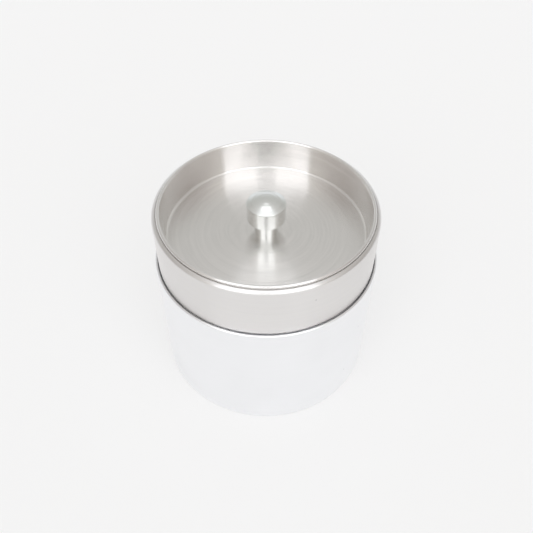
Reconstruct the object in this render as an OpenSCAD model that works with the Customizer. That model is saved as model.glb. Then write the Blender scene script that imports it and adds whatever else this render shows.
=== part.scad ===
// Candle tin with a slip-over lid, every piece a solid of revolution about Z.
// The tin stands on Z = 0, and the lid is closed. Sheet pieces are drawn as a centre line
// in the (radius, height) plane, which sheet_turned() thickens and turns about the axis.

/* [Tin] */
// Outside diameter of the tin
tin_d = 86; // [85.6:0.1:86.6]
// Height of the tin's shoulder above the table
tin_h = 55; // [50:0.1:56]
// Thickness of the sheet metal of the tin and the lid
sheet = 0.45; // [0.4:0.01:0.5]
// Outside radius of the bottom corner
corner_r = 1.25; // [1:0.05:3]
// Height of the base panel above the table
foot_rise = 0.6; // [0.3:0.1:1]
// Width of the flat ring that the tin stands on
foot_w = 5; // [3:0.5:10]
// Slope of the groove wall between the shoulder and the neck, in degrees
groove_slope = 60; // [55:1:65]
// Height of the tin's rolled mouth above the table
mouth_z = 72.2; // [71.4:0.1:72.2]

/* [Lid] */
// Outside diameter of the lid's side band
lid_d = 83.4; // [83.2:0.1:83.5]
// Gap all round between the hem inside the lid and the tin's neck
lid_fit = 0.2; // [0.15:0.01:0.25]
// Height of the lid's lower edge above the table
band_z = 54.73; // [54.73:0.01:55.2]
// Height of the hem folded inwards on the lid's lower edge
hem_h = 2; // [1:0.1:4]
// Height of the lid's rim above the table
rim_top = 77.5; // [77.4:0.1:78]
// Outside radius of the bend between the band's wall and its turned-in edge
rim_corner_r = 1; // [0.98:0.01:1.05]
// Outside radius of the gentle curve of the turned-in edge
edge_curve_r = 4; // [3.5:0.1:4.5]
// Outside radius of the lip at the top of the pan's wall
lip_r = 0.675; // [0.66:0.005:0.68]
// Height of the pan's lip above the band's turned-in edge
lip_rise = 0.97; // [0.9:0.01:1.05]
// Depth of the pan below the rim
pan_depth = 12.6; // [11:0.05:13]
// Lean of the pan's wall from upright, in degrees
pan_lean = 4.5; // [3:0.5:5]
// Inside radius where the pan's wall meets its floor
pan_fillet = 0.9; // [0.6:0.1:1.2]

/* [Seal] */
// Thickness of the seal ring
seal_t = 1.05; // [0.8:0.05:1.1]

/* [Knob] */
// Diameter of the knob's cap
knob_d = 14.6; // [13:0.1:16]
// Height of the knob's cap, without its dome
cap_h = 7.1; // [6.5:0.1:8]
// Height of the dome on the cap
dome_h = 1.6; // [1:0.1:2]
// Diameter of the knob's stem
stem_d = 9; // [8:0.1:10]
// Height of the knob's stem
stem_h = 6.1; // [5:0.1:7]

/* [Fixings] */
// Thread diameter of the knob's screw
screw_d = 4; // [3:0.5:5]
// Length of the screw under its head
screw_l = 10; // [9:0.5:10.5]
// Diameter of the screw's head
head_d = 8; // [7:0.1:9]
// Height of the screw's head
head_h = 2.4; // [2:0.1:3]
// Diameter of the washer under the screw's head
washer_d = 12; // [9:0.5:14]
// Thickness of the washer
washer_t = 0.8; // [0.5:0.1:1]

/* [Hidden] */

$fn = 180;
arc_step = 15;                    // degrees of bend between two points of a centre line
half = sheet / 2;
hem_slit = 0.06;                  // between the hem and the band

// Tin
tin_wall_r = tin_d / 2 - half;    // centre line of the tin's wall
neck_r = lid_d / 2 - 2 * sheet - hem_slit - lid_fit - half;
corner_bend = corner_r - half;
foot_angle = 40;                  // steepest slope of the step around the base panel
foot_bend = foot_rise / 2 / (1 - cos(foot_angle));
foot_run = 2 * foot_bend * sin(foot_angle);
panel_r = tin_wall_r - corner_bend - foot_w - foot_run;
shoulder_bend = 0.3;
shoulder_z = tin_h - half - shoulder_bend;
groove_bend = 0.4;
mouth_bend = 0.45;
mouth_turn = 250;                 // how far the mouth is rolled in, in degrees

// Lid
band_r = lid_d / 2 - half;
hem_bend = (sheet + hem_slit) / 2;
corner_turn = 62;                 // where the rim's bend passes into the gentle curve
edge_turn = 74;                   // where the band's turned-in edge ends
turn_way = [cos(corner_turn), sin(corner_turn)];
edge_z = rim_top - lip_rise;
corner_z = edge_z - edge_curve_r * sin(edge_turn) + (edge_curve_r - rim_corner_r) * turn_way[1];
corner_c = [lid_d / 2 - rim_corner_r, corner_z];
curve_c = corner_c - (edge_curve_r - rim_corner_r) * turn_way;
flange_gap = 0.05;                // between the pan's flange and the band over it
flange_in = sheet + flange_gap;
flange_end = 73.35;               // height of the flange's lower edge, inside the band
lip_bend = lip_r - half;
lip_to_band = 3;                  // from the inside of the pan's wall to the outside of the band
lip_c = [lid_d / 2 - lip_to_band + lip_r, rim_top - lip_r];
back_bend = 0.3;                  // where the lip turns back outwards into the flange
back_x = lip_c[0] + lip_bend + back_bend;
back_reach = edge_curve_r - half - flange_in + back_bend;
back_c = [back_x, curve_c[1] + sqrt(pow(back_reach, 2) - pow(back_x - curve_c[0], 2))];
flange_start = acos((back_x - curve_c[0]) / back_reach);
pan_z = rim_top - pan_depth;
fillet_bend = pan_fillet + half;
pan_wall_top = lip_c + lip_bend * [-cos(pan_lean), sin(pan_lean)];
fillet_z = pan_z - half + fillet_bend;
fillet_r = pan_wall_r(fillet_z - fillet_bend * sin(pan_lean)) - fillet_bend * cos(pan_lean);
screw_hole_r = screw_d / 2 + 0.15;

// Seal ring, with room to turn against the lid
seal_play = 0.05;
seal_top = flange_end - seal_play;
seal_round = 0.3;

// Knob and its fixings
stem_foot = pan_z;
cap_z = stem_foot + stem_h;
cap_top = cap_z + cap_h;
knob_r = knob_d / 2;
stem_r = stem_d / 2;
cap_edge = 0.35;                  // rounding of the cap's edges
stem_root = 0.5;                  // rounding where the stem meets the cap
dome_base = knob_r - cap_edge;
dome_sphere = (dome_base * dome_base + dome_h * dome_h) / 2 / dome_h;
dome_half_angle = asin(dome_base / dome_sphere);
tap_r = screw_d / 2 + 0.02;
tap_depth = screw_l;
washer_z = pan_z - sheet - washer_t;
head_edge = 0.6;                  // height of the upright side of the screw's head
cross_w = 1.1;
cross_l = 4.4;
cross_depth = 1.5;

STEEL = [0.80, 0.80, 0.80];
ALUMINIUM = [0.82, 0.83, 0.82];
ZINC = [0.70, 0.71, 0.73];
SILICONE = [0.86, 0.85, 0.82];

// Radius of the pan wall's centre line at height z
function pan_wall_r(z) = pan_wall_top[0] - (pan_wall_top[1] - z) * tan(pan_lean);

// Points on an arc about c, from angle a to angle b
function arc(c, r, a, b) =
    let (steps = ceil(abs(b - a) / arc_step))
    [for (i = [0:steps]) let (t = a + (b - a) * i / steps) c + r * [cos(t), sin(t)]];

// The points of a line after its first, where that one ends the stretch before
function onward(p) = [for (i = [1:len(p) - 1]) p[i]];

function heading(p, i) =
    let (j = max(0, min(len(p) - 2, i)), d = p[j + 1] - p[j]) d / norm(d);

// A line beside the centre line p, at distance d to its left, with true corners
function beside(p, d) =
    [for (i = [0:len(p) - 1])
        let (before = heading(p, i - 1), after = heading(p, i), mid = before + after)
        p[i] + 2 * d * [-mid[1], mid[0]] / (mid * mid)];

// Sheet metal turned about Z, from its centre line in the (radius, height) plane
module sheet_turned(line) {
    left = beside(line, half);
    right = beside(line, -half);
    rotate_extrude()
        polygon(concat(left, [for (i = [len(right) - 1:-1:0]) right[i]]));
}

function tin_line() =
    let (
        out = arc([tin_wall_r - shoulder_bend, shoulder_z], shoulder_bend, 0, 90 + groove_slope),
        lip = out[len(out) - 1],
        foot_x = neck_r + groove_bend * (1 + sin(groove_slope)),
        foot_z = lip[1] - (lip[0] - foot_x) * tan(groove_slope),
        groove = [neck_r + groove_bend, foot_z + groove_bend * cos(groove_slope)]
    )
    concat(
        [[0, foot_rise + half]],
        arc([panel_r, foot_rise + half - foot_bend], foot_bend, 90, 90 - foot_angle),
        onward(arc([panel_r + foot_run, half + foot_bend], foot_bend, 270 - foot_angle, 270)),
        arc([tin_wall_r - corner_bend, corner_r], corner_bend, -90, 0),
        out,
        arc(groove, groove_bend, groove_slope - 90, -180),
        arc([neck_r - mouth_bend, mouth_z - half - mouth_bend], mouth_bend, 0, mouth_turn)
    );

// The rim's outer curve, from one angle of its gentle part down to the wall, inset by d
function rim_curve(from, d) = concat(
    arc(curve_c, edge_curve_r - d, from, corner_turn),
    onward(arc(corner_c, rim_corner_r - d, corner_turn, 0))
);

function pan_line() = concat(
    [[screw_hole_r, pan_z - half]],
    arc([fillet_r, fillet_z], fillet_bend, -90, -pan_lean),
    arc(lip_c, lip_bend, 180 - pan_lean, 0),
    arc(back_c, back_bend, 180, 180 + flange_start),
    onward(rim_curve(flange_start, flange_in + half)),
    [[band_r - flange_in, flange_end]]
);

function band_line() = concat(
    rim_curve(edge_turn, half),
    arc([band_r - hem_bend, band_z + half + hem_bend], hem_bend, 0, -180),
    [[band_r - 2 * hem_bend, band_z + hem_h]]
);

module tin_body() {
    color(STEEL) sheet_turned(tin_line());
}

module lid_pan() {
    color(STEEL) sheet_turned(pan_line());
}

module lid_band() {
    color(STEEL) sheet_turned(band_line());
}

// The seal ring's bore follows the lean of the pan's wall
module seal_ring() {
    seal_low = seal_top - seal_t;
    gap = half / cos(pan_lean) + seal_play;
    outer = band_r - half - seal_play;
    color(SILICONE)
        rotate_extrude()
            polygon(concat(
                [[pan_wall_r(seal_top) + gap, seal_top], [pan_wall_r(seal_low) + gap, seal_low]],
                arc([outer - seal_round, seal_low + seal_round], seal_round, -90, 0),
                arc([outer - seal_round, seal_top - seal_round], seal_round, 0, 90)
            ));
}

function knob_outline() = concat(
    [[0, stem_foot], [stem_r, stem_foot]],
    arc([stem_r + stem_root, cap_z - stem_root], stem_root, 180, 90),
    arc([knob_r - cap_edge, cap_z + cap_edge], cap_edge, -90, 0),
    arc([knob_r - cap_edge, cap_top - cap_edge], cap_edge, 0, 90 - dome_half_angle),
    [for (i = [1:6])
        let (a = dome_half_angle * (1 - i / 6))
        [dome_sphere * sin(a), cap_top + dome_sphere * (cos(a) - cos(dome_half_angle))]]
);

module knob() {
    color(ALUMINIUM)
        difference() {
            rotate_extrude() polygon(knob_outline());
            translate([0, 0, stem_foot - 1]) cylinder(r = tap_r, h = tap_depth + 1);
        }
}

module knob_washer() {
    color(ZINC)
        translate([0, 0, washer_z])
            difference() {
                cylinder(d = washer_d, h = washer_t);
                translate([0, 0, -1]) cylinder(r = screw_hole_r, h = washer_t + 2);
            }
}

// Pan-head screw, head down, with a cross recess
module knob_screw() {
    head_r = head_d / 2;
    crown = head_h - head_edge;
    crown_sphere = (head_r * head_r + crown * crown) / 2 / crown;
    crown_angle = asin(head_r / crown_sphere);
    color(ZINC)
        translate([0, 0, washer_z])
            difference() {
                rotate_extrude()
                    polygon(concat(
                        [[0, screw_l], [screw_d / 2 - 0.4, screw_l], [screw_d / 2, screw_l - 0.4],
                         [screw_d / 2, 0], [head_r, 0]],
                        [for (i = [0:6])
                            let (a = crown_angle * (1 - i / 6))
                            [crown_sphere * sin(a), crown_sphere * (1 - cos(a)) - head_h]]
                    ));
                for (turn = [0, 90])
                    rotate([0, 0, turn])
                        translate([-cross_l / 2, -cross_w / 2, -head_h - 1])
                            cube([cross_l, cross_w, cross_depth + 1]);
            }
}

tin_body();
lid_band();
lid_pan();
seal_ring();
knob();
knob_washer();
knob_screw();
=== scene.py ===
import math

import bpy
from mathutils import Euler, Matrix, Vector


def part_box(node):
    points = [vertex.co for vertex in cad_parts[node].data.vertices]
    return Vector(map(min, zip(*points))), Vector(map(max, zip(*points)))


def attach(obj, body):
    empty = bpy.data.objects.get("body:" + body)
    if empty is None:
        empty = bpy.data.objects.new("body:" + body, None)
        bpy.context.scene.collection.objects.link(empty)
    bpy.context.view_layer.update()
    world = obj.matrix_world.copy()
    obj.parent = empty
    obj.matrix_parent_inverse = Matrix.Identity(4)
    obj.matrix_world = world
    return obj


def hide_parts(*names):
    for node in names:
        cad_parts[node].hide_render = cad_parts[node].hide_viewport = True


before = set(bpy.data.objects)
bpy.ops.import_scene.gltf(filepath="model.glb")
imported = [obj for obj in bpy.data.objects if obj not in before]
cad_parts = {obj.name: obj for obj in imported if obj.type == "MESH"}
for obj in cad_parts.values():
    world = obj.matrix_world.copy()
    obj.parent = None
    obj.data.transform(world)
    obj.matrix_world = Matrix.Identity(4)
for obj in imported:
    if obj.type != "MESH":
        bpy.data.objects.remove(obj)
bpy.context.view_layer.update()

# A candle tin of brushed steel with a slip-over lid. The sheet-metal pieces, the seal ring and the
# knob are turned here from finer outlines than the frame's, and the screw and washer are the frame's.
# Outlines are (radius, height) points in millimetres.
MM = 0.001
SEGMENTS = 192          # steps round the axis
ARC_STEP = 7.5          # degrees of bend between two points of an outline
SHARP_CORNER = 30       # degrees of bend above which an outline's corner stays sharp
SAME_POINT = 0.001      # mm, below which two points are one
LONG_RUN = 1.0          # mm, above which a straight gets extra points near its ends
EDGE_STEP = 0.12        # mm between those


# ---------------------------------------------------------------- sizes from the frame

def box_mm(node):
    low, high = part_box(node)
    return Vector(low) / MM, Vector(high) / MM


_, tin_high = box_mm("tin_body")
band_low, band_high = box_mm("lid_band")
pan_low, pan_high = box_mm("lid_pan")
seal_low, seal_high = box_mm("seal_ring")
knob_low, knob_high = box_mm("knob")

SHEET = 0.45            # thickness of the steel
HALF = SHEET / 2
TIN_R = tin_high.x
SHOULDER_Z = 55.0       # height of the tin's shoulder
FOOT_W = 5.0            # width of the flat ring that the tin stands on
LID_R = band_high.x     # outside of the lid's side band
LID_FIT = 0.2           # gap between the lid's hem and the neck
HEM_SLIT = 0.06         # gap inside the folded hem
HEM_H = 2.0
PAN_LEAN = 4.5          # degrees that the pan's wall leans
PAN_HOLE_R = 2.15       # hole for the knob's screw
SEAL_GAP = 0.05         # between the seal and the steel beside it


# ---------------------------------------------------------------- outlines

def arc(centre, radius, start, end):
    steps = max(2, math.ceil(abs(end - start) / ARC_STEP))
    angles = [math.radians(start + (end - start) * i / steps) for i in range(steps + 1)]
    return [Vector((centre[0] + radius * math.cos(a), centre[1] + radius * math.sin(a))) for a in angles]


def join(*stretches):
    """One outline from arcs and single points, with close points beside each end of a long straight."""
    points = []
    for stretch in stretches:
        points += stretch if isinstance(stretch, list) else [Vector(stretch)]
    line = [points[0]]
    for b in points[1:]:
        a = line[-1]
        run = b - a
        if run.length < SAME_POINT:
            continue
        if run.length > LONG_RUN:
            ease = run.normalized() * EDGE_STEP
            line += [a + ease, a + 2 * ease, b - 2 * ease, b - ease]
        line.append(b)
    return line


def beside(line, distance):
    """The line at that distance to the left of another, with true corners."""
    moved = []
    for i, point in enumerate(line):
        before = (line[max(i, 1)] - line[max(i, 1) - 1]).normalized()
        after = (line[min(i, len(line) - 2) + 1] - line[min(i, len(line) - 2)]).normalized()
        mid = before + after
        moved.append(point + Vector((-mid.y, mid.x)) * (2 * distance / mid.length_squared))
    return moved


def sheet_outline(line):
    """The outline of sheet metal whose centre line is given."""
    return beside(line, HALF) + beside(line, -HALF)[::-1]


def tin_line():
    wall_r = TIN_R - HALF
    neck_r = LID_R - 2 * SHEET - HEM_SLIT - LID_FIT - HALF
    corner_bend = 1.25 - HALF               # the corner at the base is 1.25 outside
    foot_rise, foot_angle = 0.6, 40         # the panel inside the foot ring, and the slope up to it
    foot_bend = foot_rise / 2 / (1 - math.cos(math.radians(foot_angle)))
    foot_run = 2 * foot_bend * math.sin(math.radians(foot_angle))
    panel_r = wall_r - corner_bend - FOOT_W - foot_run
    shoulder_bend, groove_bend, mouth_bend = 0.3, 0.4, 0.45
    mouth_turn = 250                        # degrees, where the rolled mouth ends
    slope = 60                              # degrees, of the groove's outer side
    slope_sin, slope_cos = math.sin(math.radians(slope)), math.cos(math.radians(slope))
    shoulder_z = SHOULDER_Z - HALF - shoulder_bend
    shoulder = arc((wall_r - shoulder_bend, shoulder_z), shoulder_bend, 0, 90 + slope)
    groove_x = neck_r + groove_bend * (1 + slope_sin)
    groove_top = shoulder[-1].y - (shoulder[-1].x - groove_x) * slope_sin / slope_cos
    return join(
        (0, foot_rise + HALF),
        arc((panel_r, foot_rise + HALF - foot_bend), foot_bend, 90, 90 - foot_angle),
        arc((panel_r + foot_run, HALF + foot_bend), foot_bend, 270 - foot_angle, 270),
        arc((wall_r - corner_bend, HALF + corner_bend), corner_bend, -90, 0),
        shoulder,
        arc((neck_r + groove_bend, groove_top + groove_bend * slope_cos), groove_bend, slope - 90, -180),
        arc((neck_r - mouth_bend, tin_high.z - HALF - mouth_bend), mouth_bend, 0, mouth_turn),
    )


lean_sin, lean_cos = math.sin(math.radians(PAN_LEAN)), math.cos(math.radians(PAN_LEAN))
pan_z = pan_low.z + SHEET           # the upper side of the pan's floor

# The rim: the band's bend and turned-in edge, and the pan's lip and flange that follow it inside
CORNER_R, CURVE_R = 1.0, 4.0        # outside radii of the bend and of the gentle curve after it
CORNER_TURN, EDGE_TURN = 62, 74     # degrees, where each of them ends
LIP_R = 0.675                       # outside radius of the pan's lip
LIP_IN = 3.0                        # from the outside of the lid to the inner side of the lip
BACK_BEND = 0.3                     # where the lip turns back outwards into the flange
FLANGE_IN = SHEET + 0.05            # how far inside the band the flange lies


def way(degrees):
    return Vector((math.cos(math.radians(degrees)), math.sin(math.radians(degrees))))


corner_centre = Vector((LID_R - CORNER_R, band_high.z - CURVE_R * way(EDGE_TURN).y))
corner_centre.y += (CURVE_R - CORNER_R) * way(CORNER_TURN).y
curve_centre = corner_centre - (CURVE_R - CORNER_R) * way(CORNER_TURN)
lip_centre = Vector((LID_R - LIP_IN + LIP_R, pan_high.z - LIP_R))
lip_bend = LIP_R - HALF
back_x = lip_centre.x + lip_bend + BACK_BEND
back_reach = CURVE_R - HALF - FLANGE_IN + BACK_BEND
flange_start = math.degrees(math.acos((back_x - curve_centre.x) / back_reach))
back_centre = curve_centre + back_reach * way(flange_start)


def rim_curve(start, inset):
    """The rim's outer curve, from an angle of its gentle part down to the wall."""
    gentle = arc(curve_centre, CURVE_R - inset, start, CORNER_TURN)
    return gentle + arc(corner_centre, CORNER_R - inset, CORNER_TURN, 0)[1:]


def pan_wall_r(z):
    """Radius of the centre line of the pan's wall at height z."""
    top = lip_centre + lip_bend * Vector((-lean_cos, lean_sin))
    return top.x - (top.y - z) * lean_sin / lean_cos


def pan_line():
    fillet = 0.9 + HALF
    centre_z = pan_z - HALF + fillet
    centre_r = pan_wall_r(centre_z - fillet * lean_sin) - fillet * lean_cos
    return join(
        (PAN_HOLE_R, pan_z - HALF),
        arc((centre_r, centre_z), fillet, -90, -PAN_LEAN),
        arc(lip_centre, lip_bend, 180 - PAN_LEAN, 0),
        arc(back_centre, BACK_BEND, 180, 180 + flange_start),
        rim_curve(flange_start, FLANGE_IN + HALF)[1:],
        (LID_R - HALF - FLANGE_IN, seal_high.z + SEAL_GAP),
    )


def band_line():
    wall_r = LID_R - HALF
    hem_bend = HALF + HEM_SLIT / 2
    return join(
        rim_curve(EDGE_TURN, HALF),
        arc((wall_r - hem_bend, band_low.z + HALF + hem_bend), hem_bend, 0, -180),
        (wall_r - 2 * hem_bend, band_low.z + HEM_H),
    )


def seal_outline():
    gap = HALF / lean_cos + SEAL_GAP
    corner = 0.3
    outer = seal_high.x
    return join(
        (pan_wall_r(seal_high.z) + gap, seal_high.z),
        (pan_wall_r(seal_low.z) + gap, seal_low.z),
        arc((outer - corner, seal_low.z + corner), corner, -90, 0),
        arc((outer - corner, seal_high.z - corner), corner, 0, 90),
    )


def knob_outline():
    knob_r, stem_r = knob_high.x, 4.5
    edge, root = 0.35, 0.5                  # radii of the cap's edges, and between stem and cap
    cap_z, dome_h = knob_low.z + 6.1, 1.6
    cap_top = knob_high.z - dome_h
    base_r = knob_r - edge
    sphere = (base_r * base_r + dome_h * dome_h) / 2 / dome_h
    half_angle = math.degrees(math.asin(base_r / sphere))
    hole_r, hole_top = 2.02, knob_low.z + 10        # the blind hole for the screw
    return join(
        (0, hole_top),
        (hole_r, hole_top),
        (hole_r, knob_low.z),
        (stem_r, knob_low.z),
        arc((stem_r + root, cap_z - root), root, 180, 90),
        arc((knob_r - edge, cap_z + edge), edge, -90, 0),
        arc((knob_r - edge, cap_top - edge), edge, 0, 90 - half_angle),
        arc((0, knob_high.z - sphere), sphere, 90 - half_angle, 90),
    )


# ---------------------------------------------------------------- meshes

def turned(name, outline):
    """A smooth solid of revolution about Z from a closed outline, which may start and end on the axis."""
    outline = [p for p, q in zip(outline, outline[1:] + outline[:1]) if (p - q).length > 1e-6]
    count = len(outline)
    on_axis = [p.x < 1e-6 for p in outline]
    verts, rings = [], []
    for point, pole in zip(outline, on_axis):
        ring = []
        for s in range(1 if pole else SEGMENTS):
            a = 2 * math.pi * s / SEGMENTS
            ring.append(len(verts))
            verts.append((point.x * math.cos(a) * MM, point.x * math.sin(a) * MM, point.y * MM))
        rings.append(ring)
    faces = []
    for i in range(count):
        a, b = rings[i], rings[(i + 1) % count]
        if len(a) == 1 and len(b) == 1:
            continue
        for s in range(SEGMENTS):
            t = (s + 1) % SEGMENTS
            if len(a) == 1:
                faces.append((a[0], b[s], b[t]))
            elif len(b) == 1:
                faces.append((a[t], a[s], b[0]))
            else:
                faces.append((a[s], b[s], b[t], a[t]))
    mesh = bpy.data.meshes.new(name)
    mesh.from_pydata(verts, [], faces)
    mesh.polygons.foreach_set("use_smooth", [True] * len(mesh.polygons))
    mark_sharp(mesh, outline, rings)
    mesh.validate()
    mesh.update()
    piece = bpy.data.objects.new(name, mesh)
    bpy.context.scene.collection.objects.link(piece)
    face_outwards(piece)
    return piece


def mark_sharp(mesh, outline, rings):
    """Marks the rings of edges at the outline's sharp corners."""
    sharp = set()
    for i, point in enumerate(outline):
        before = (point - outline[i - 1]).normalized()
        after = (outline[(i + 1) % len(outline)] - point).normalized()
        if len(rings[i]) > 1 and math.degrees(before.angle(after)) > SHARP_CORNER:
            sharp.update(rings[i])
    ring_of = {v: i for i, ring in enumerate(rings) for v in ring}
    flags = [
        e.vertices[0] in sharp and e.vertices[1] in sharp and ring_of[e.vertices[0]] == ring_of[e.vertices[1]]
        for e in mesh.edges
    ]
    mesh.attributes.new("sharp_edge", "BOOLEAN", "EDGE").data.foreach_set("value", flags)


def face_outwards(piece):
    """Turns every face outwards, by the sign of the mesh's volume."""
    mesh = piece.data
    mesh.calc_loop_triangles()
    volume = 0
    for tri in mesh.loop_triangles:
        a, b, c = (mesh.vertices[v].co for v in tri.vertices)
        volume += a.dot(b.cross(c))
    if volume < 0:
        mesh.flip_normals()


# ---------------------------------------------------------------- materials

class Graph:
    """A material's node graph, with short calls to add and link nodes."""

    def __init__(self, name):
        self.material = bpy.data.materials.new(name)
        self.material.use_nodes = True
        self.nodes = self.material.node_tree.nodes
        self.links = self.material.node_tree.links
        self.nodes.clear()

    def add(self, kind, inputs=None, **settings):
        node = self.nodes.new(kind)
        for key, value in settings.items():
            setattr(node, key, value)
        for key, value in (inputs or {}).items():
            if isinstance(value, bpy.types.NodeSocket):
                self.links.new(value, node.inputs[key])
            else:
                node.inputs[key].default_value = value
        return node

    def math(self, operation, a, b=0.0):
        return self.add("ShaderNodeMath", {0: a, 1: b}, operation=operation).outputs[0]

    def between(self, value, low, high, out_low, out_high):
        inputs = {"Value": value, "From Min": low, "From Max": high, "To Min": out_low, "To Max": out_high}
        return self.add("ShaderNodeMapRange", inputs).outputs["Result"]

    def mix(self, factor, a, b):
        node = self.add("ShaderNodeMix", data_type="RGBA")
        for socket, value in ((node.inputs["Factor"], factor), (node.inputs[6], a), (node.inputs[7], b)):
            if isinstance(value, bpy.types.NodeSocket):
                self.links.new(value, socket)
            else:
                socket.default_value = value
        return node.outputs[2]

    def noise(self, vector, scale, detail=2.0, roughness=0.5, w=None):
        inputs = {"Vector": vector, "Scale": scale, "Detail": detail, "Roughness": roughness}
        if w is None:
            return self.add("ShaderNodeTexNoise", inputs).outputs["Fac"]
        inputs["W"] = w
        return self.add("ShaderNodeTexNoise", inputs, noise_dimensions="4D").outputs["Fac"]

    def finish(self, shader):
        self.add("ShaderNodeOutputMaterial", {"Surface": shader})
        return self.material


def round_axis(g):
    """The shaded point's unit direction from the axis, radius, height and position, in the object's frame."""
    position = g.add("ShaderNodeTexCoord").outputs["Object"]
    parts = g.add("ShaderNodeSeparateXYZ", {0: position})
    flat = g.add("ShaderNodeCombineXYZ", {0: parts.outputs[0], 1: parts.outputs[1]}).outputs[0]
    radius = g.add("ShaderNodeVectorMath", {0: flat}, operation="LENGTH").outputs["Value"]
    direction = g.add("ShaderNodeVectorMath", {0: flat}, operation="NORMALIZE").outputs[0]
    return direction, radius, parts.outputs[2], position


def brushing(g, direction, radius, height, line_width, arc_length):
    """Fine grooves round the axis, 0 to 1: line_width in metres, arc_length in radians."""
    across = g.math("DIVIDE", radius, line_width)
    up = g.math("DIVIDE", height, line_width)
    around = g.add("ShaderNodeVectorMath", {0: direction, "Scale": 1 / arc_length}, operation="SCALE")
    parts = g.add("ShaderNodeSeparateXYZ", {0: around.outputs[0]})
    vector = g.add("ShaderNodeCombineXYZ", {0: parts.outputs[0], 1: parts.outputs[1], 2: across}).outputs[0]
    return g.noise(vector, 1.0, detail=2.0, roughness=0.6, w=up)


FINE_LINE, COARSE_LINE = 0.00012, 0.0009    # widths of the brushed lines, in metres
FINE_ARC, COARSE_ARC = 0.35, 1.6            # and their lengths, in radians round the axis
CLOUD_SCALE = 38.0                          # how many patches of unevenness there are in a metre
SPECK_SCALE = 60.0                          # and how many rare dark specks
RELIEF = 0.00002                            # depth of the finest surface relief, in metres


def brushed_metal(name, color, roughness, anisotropy, grain=0.03, rings=0.0, bump=0.1):
    """Metal brushed round its axis: fine lines, faint wider rings, unevenness and rare dark specks."""
    g = Graph(name)
    direction, radius, height, position = round_axis(g)
    fine = brushing(g, direction, radius, height, FINE_LINE, FINE_ARC)
    coarse = brushing(g, direction, radius, height, COARSE_LINE, COARSE_ARC)
    lines = g.math("ADD", g.math("MULTIPLY", fine, 0.7), g.math("MULTIPLY", coarse, 0.3))
    cloud = g.noise(position, CLOUD_SCALE, detail=2.0)
    tone = g.between(lines, 0.3, 0.7, 1 - grain, 1 + grain)
    tone = g.math("MULTIPLY", tone, g.between(cloud, 0.3, 0.7, 0.985, 1.015))
    tone = g.math("MULTIPLY", tone, g.between(coarse, 0.35, 0.65, 1 - rings, 1 + rings))
    specks = g.add("ShaderNodeTexVoronoi", {"Vector": position, "Scale": SPECK_SCALE}, feature="F1")
    tone = g.math("MULTIPLY", tone, g.between(specks.outputs["Distance"], 0.010, 0.020, 0.6, 1.0))
    rgb = g.add("ShaderNodeVectorMath", {0: color, "Scale": tone}, operation="SCALE").outputs[0]
    rough = g.math("ADD", roughness, g.between(lines, 0.3, 0.7, -0.02, 0.02))
    normal = g.add("ShaderNodeBump", {"Strength": bump, "Distance": RELIEF, "Height": lines}).outputs[0]
    tangent = g.add("ShaderNodeTangent", direction_type="RADIAL", axis="Z").outputs[0]
    shader = g.add("ShaderNodeBsdfPrincipled", {
        "Base Color": rgb,
        "Metallic": 1.0,
        "Roughness": rough,
        "Anisotropic": anisotropy,
        "Anisotropic Rotation": 0.25,
        "Normal": normal,
        "Tangent": tangent,
    })
    return g.finish(shader.outputs[0])


def silicone_material():
    g = Graph("silicone")
    _, _, _, position = round_axis(g)
    cloud = g.noise(position, 90.0, detail=3.0)
    rgb = g.mix(cloud, (0.80, 0.79, 0.75, 1), (0.88, 0.87, 0.84, 1))
    rough = g.between(g.noise(position, 400.0), 0.3, 0.7, 0.42, 0.55)
    bump = g.add("ShaderNodeBump", {"Strength": 0.1, "Distance": RELIEF, "Height": cloud}).outputs[0]
    shader = g.add("ShaderNodeBsdfPrincipled", {"Base Color": rgb, "Roughness": rough, "Normal": bump})
    shader.inputs["Subsurface Weight"].default_value = 0.3
    shader.inputs["Subsurface Radius"].default_value = (0.001, 0.001, 0.0008)
    return g.finish(shader.outputs[0])


def zinc_material():
    g = Graph("zinc_plate")
    _, _, _, position = round_axis(g)
    cloud = g.noise(position, 300.0, detail=4.0)
    rgb = g.mix(cloud, (0.62, 0.64, 0.68, 1), (0.74, 0.75, 0.78, 1))
    rough = g.between(cloud, 0.3, 0.7, 0.22, 0.36)
    bump = g.add("ShaderNodeBump", {"Strength": 0.15, "Distance": RELIEF, "Height": cloud}).outputs[0]
    shader = g.add("ShaderNodeBsdfPrincipled",
                   {"Base Color": rgb, "Metallic": 1.0, "Roughness": rough, "Normal": bump})
    return g.finish(shader.outputs[0])


# ---------------------------------------------------------------- the pieces

def make(name, outline, node, body, material):
    """Turns a piece, which stands for a frame's node and rides on that node's body."""
    piece = turned(name, outline)
    piece.data.materials.append(material)
    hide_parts(node)
    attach(piece, body)


tin_steel = brushed_metal("tin_steel", (0.93, 0.935, 0.95), 0.30, 0.3, grain=0.012, bump=0.03)
lid_steel = brushed_metal("lid_steel", (0.815, 0.80, 0.79), 0.30, 0.9, grain=0.02)
pan_steel = brushed_metal("pan_steel", (0.835, 0.82, 0.805), 0.24, 1.0, grain=0.02, rings=0.02)
knob_metal = brushed_metal("knob_metal", (0.79, 0.80, 0.785), 0.22, 0.4, grain=0.03, bump=0.04)
silicone = silicone_material()
zinc = zinc_material()

make("tin", sheet_outline(tin_line()), "tin_body", "tin", tin_steel)
make("lid_side_band", sheet_outline(band_line()), "lid_band", "lid", lid_steel)
make("lid_top_pan", sheet_outline(pan_line()), "lid_pan", "lid", pan_steel)
make("lid_seal", seal_outline(), "seal_ring", "seal", silicone)
make("lid_knob", knob_outline(), "knob", "lid", knob_metal)

for cad_name in ("knob_washer", "knob_screw"):
    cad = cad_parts[cad_name]
    cad.data.materials.clear()
    cad.data.materials.append(zinc)


# ---------------------------------------------------------------- studio

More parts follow.
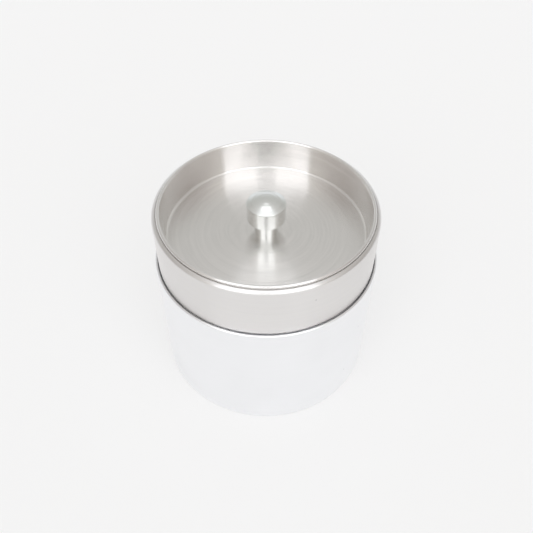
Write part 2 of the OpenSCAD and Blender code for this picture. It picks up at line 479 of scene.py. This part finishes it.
# The camera. Its place is in radii of the tin.
CAMERA_AT = Vector((0.0032, -3.7833, 5.1159))
LENS, SENSOR = 40.07, 36.0          # mm
PITCH = 47.23           # degrees that the camera looks down
ROLL = 0.19             # degrees
NEAREST, FARTHEST = 0.01, 20.0      # metres that the camera sees

FLOOR_HALF = 6.0        # metres, from the middle of the floor to its edge

# The room's light by height, for the side of the camera, the two sides and the side behind
LOW_ROOM = ((0.40, 0.38, 0.36, 1), (0.80, 0.80, 0.82, 1), (0.95, 0.97, 1.00, 1))
MIDDLE_ROOM = ((0.95, 0.92, 0.88, 1), (0.34, 0.30, 0.27, 1), (0.60, 0.60, 0.58, 1))
HIGH_ROOM = ((1.30, 1.27, 1.23, 1), (0.68, 0.66, 0.64, 1), (0.66, 0.66, 0.65, 1))
TOP_ROOM = (1.00, 1.01, 1.03, 1)
BACKDROP = (0.95, 0.95, 0.95, 1)    # what the camera sees beyond the floor

SOFTBOX_POINT = 0.72    # how far behind the object the softbox comes to a point, as the sine of the angle
SOFTBOX_FLARE = 0.5     # how fast it widens from there towards the camera
SOFTBOX_EDGE = 0.03     # how soft its long sides are
SOFTBOX_FROM, SOFTBOX_TO = 14, 114  # degrees up from the camera's side, over the top
SOFTBOX_FADE = 6        # degrees over which its ends fade
SOFTBOX_OVER = (1.22, 1.23, 1.24, 1)            # straight overhead, and its brighter two ends
SOFTBOX_ENDS = (1.82, 1.83, 1.85, 1)

CAMERA_WAY = Vector((0, -0.6, 0.8))
CAMERA_BODY = (0.06, 0.045, 0.035, 1)           # the dark camera, as the metal sees it


def look_camera():
    data = bpy.data.cameras.new("camera")
    data.lens = LENS
    data.sensor_width = SENSOR
    data.clip_start = NEAREST
    data.clip_end = FARTHEST
    camera = bpy.data.objects.new("camera", data)
    camera.location = CAMERA_AT * (TIN_R * MM)
    camera.rotation_mode = "QUATERNION"
    camera.rotation_quaternion = (
        Euler((math.radians(90 - PITCH), 0, 0)).to_quaternion()
        @ Euler((0, 0, math.radians(ROLL))).to_quaternion()
    )
    bpy.context.scene.collection.objects.link(camera)
    bpy.context.scene.camera = camera


def floor_material():
    """A pale, faintly uneven floor, which glows a little so that it looks as even as a lit sweep."""
    g = Graph("floor")
    position = g.add("ShaderNodeTexCoord").outputs["Object"]
    cloud = g.noise(position, 3.0)
    rgb = g.mix(cloud, (0.37, 0.37, 0.37, 1), (0.38, 0.38, 0.38, 1))
    shader = g.add("ShaderNodeBsdfPrincipled", {
        "Base Color": rgb,
        "Roughness": 0.9,
        "Emission Color": (1, 1, 1, 1),
        "Emission Strength": 0.52,
    })
    return g.finish(shader.outputs[0])


def studio_floor():
    corners = [(x * FLOOR_HALF, y * FLOOR_HALF, 0) for x, y in ((-1, -1), (1, -1), (1, 1), (-1, 1))]
    mesh = bpy.data.meshes.new("floor")
    mesh.from_pydata(corners, [], [(0, 1, 2, 3)])
    floor = bpy.data.objects.new("floor", mesh)
    bpy.context.scene.collection.objects.link(floor)
    mesh.materials.append(floor_material())


class WorldGraph(Graph):
    """The same short calls, on the world's node graph."""

    def __init__(self, name):
        self.world = bpy.data.worlds.new(name)
        self.world.use_nodes = True
        self.nodes = self.world.node_tree.nodes
        self.links = self.world.node_tree.links
        self.nodes.clear()

    def ease(self, value, low, high, out_low=0.0, out_high=1.0):
        inputs = {"Value": value, "From Min": low, "From Max": high, "To Min": out_low, "To Max": out_high}
        return self.add("ShaderNodeMapRange", inputs, interpolation_type="SMOOTHSTEP").outputs["Result"]


def room_light(g, y, z):
    """The plain room, by height and by side."""
    def band(tones):
        front, side, back = tones
        return g.mix(g.ease(y, 0.0, 0.9), g.mix(g.ease(y, -0.7, 0.1), front, side), back)

    room = g.mix(g.ease(z, 0.1, 0.45), band(LOW_ROOM), band(MIDDLE_ROOM))
    room = g.mix(g.ease(z, 0.5, 0.85), room, band(HIGH_ROOM))
    return g.mix(g.ease(z, 0.85, 1.0), room, TOP_ROOM)


def softbox_mask(g, x, y, z):
    """1 inside the long softbox, which arches from the camera's side over the object."""
    climb = g.math("ARCTAN2", z, g.math("MULTIPLY", y, -1.0))
    reach = g.math("MULTIPLY", g.math("SUBTRACT", SOFTBOX_POINT, y), SOFTBOX_FLARE)
    inside = g.math("SUBTRACT", reach, g.math("ABSOLUTE", x))
    across = g.ease(inside, 0.0, SOFTBOX_EDGE)
    low_end = g.ease(climb, math.radians(SOFTBOX_FROM), math.radians(SOFTBOX_FROM + SOFTBOX_FADE))
    high_end = g.ease(climb, math.radians(SOFTBOX_TO), math.radians(SOFTBOX_TO + SOFTBOX_FADE), 1.0, 0.0)
    return g.math("MULTIPLY", across, g.math("MULTIPLY", low_end, high_end))


def studio_world():
    """The room, the softbox and the dark camera, as directions of light. The camera sees a plain backdrop."""
    g = WorldGraph("studio")
    toward = g.add("ShaderNodeTexCoord").outputs["Generated"]
    parts = g.add("ShaderNodeSeparateXYZ", {0: toward})
    x, y, z = parts.outputs[0], parts.outputs[1], parts.outputs[2]

    from_top = g.math("ABSOLUTE", g.math("SUBTRACT", y, 0.05))
    softbox = g.mix(g.ease(from_top, 0.1, 0.32), SOFTBOX_OVER, SOFTBOX_ENDS)
    lit = g.mix(softbox_mask(g, x, y, z), room_light(g, y, z), softbox)
    to_camera = g.add("ShaderNodeVectorMath", {0: toward, 1: CAMERA_WAY}, operation="DISTANCE")
    lit = g.mix(g.ease(to_camera.outputs["Value"], 0.12, 0.17, 1.0, 0.0), lit, CAMERA_BODY)

    seen = g.mix(g.add("ShaderNodeLightPath").outputs["Is Camera Ray"], lit, BACKDROP)
    background = g.add("ShaderNodeBackground", {"Color": seen, "Strength": 1.0}).outputs[0]
    g.add("ShaderNodeOutputWorld", {"Surface": background})
    bpy.context.scene.world = g.world


look_camera()
studio_floor()
studio_world()
bpy.context.scene.view_settings.view_transform = "Standard"
